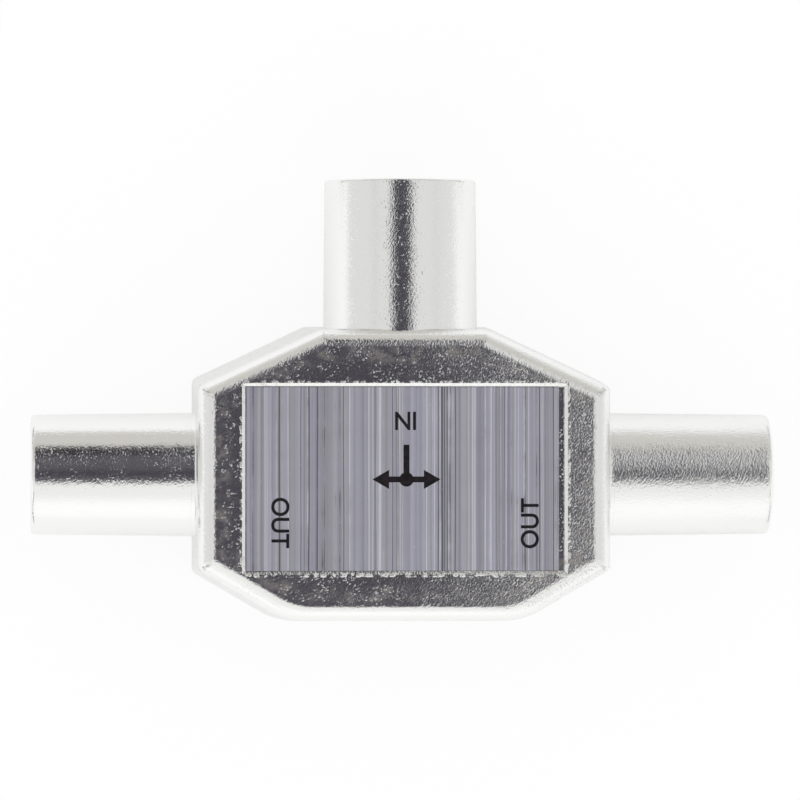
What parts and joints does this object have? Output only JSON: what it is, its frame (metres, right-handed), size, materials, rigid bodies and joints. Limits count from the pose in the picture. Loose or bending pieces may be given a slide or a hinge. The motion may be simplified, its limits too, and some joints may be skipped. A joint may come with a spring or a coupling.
{
  "type": "rf power splitter",
  "caption": "T-shaped coaxial television splitter: nickel-plated die-cast housing with an input socket, two output plugs, a recessed label plate and a pressed back cover.",
  "frame": {"origin": "on the back cover's outer face, straight below the point where the three connector axes cross", "axes": "+Z out of the label face, +Y the way the input socket points, +X along the two output plugs"},
  "size_m": [0.0582, 0.0349, 0.014],
  "materials": {
    "nickel_casting": "gloss",
    "nickel_sheet": "gloss",
    "label_plate": "satin",
    "contact_metal": "gloss",
    "insulator_plastic": "satin",
    "board_laminate": "satin",
    "ferrite": "matte",
    "enamelled_wire": "gloss",
    "capacitor_ceramic": "satin",
    "resistor_black": "satin",
    "solder": "satin"
  },
  "bodies": {
    "root": {"housing": "nickel_casting", "back_cover": "nickel_sheet", "label": "label_plate", "in_insulator": "insulator_plastic", "in_contact": "contact_metal", "out_left_insulator": "insulator_plastic", "out_left_pin": "contact_metal", "out_right_insulator": "insulator_plastic", "out_right_pin": "contact_metal", "circuit_board": "board_laminate", "matching_core": "ferrite", "matching_winding": "enamelled_wire", "splitting_core": "ferrite", "splitting_winding_left": "enamelled_wire", "splitting_winding_right": "enamelled_wire", "input_capacitor": "capacitor_ceramic", "trimming_capacitor": "capacitor_ceramic", "balance_resistor": "resistor_black", "in_solder": "solder", "out_left_solder": "solder", "out_right_solder": "solder", "ground_solder_left": "solder", "ground_solder_right": "solder"}
  },
  "joints": []
}
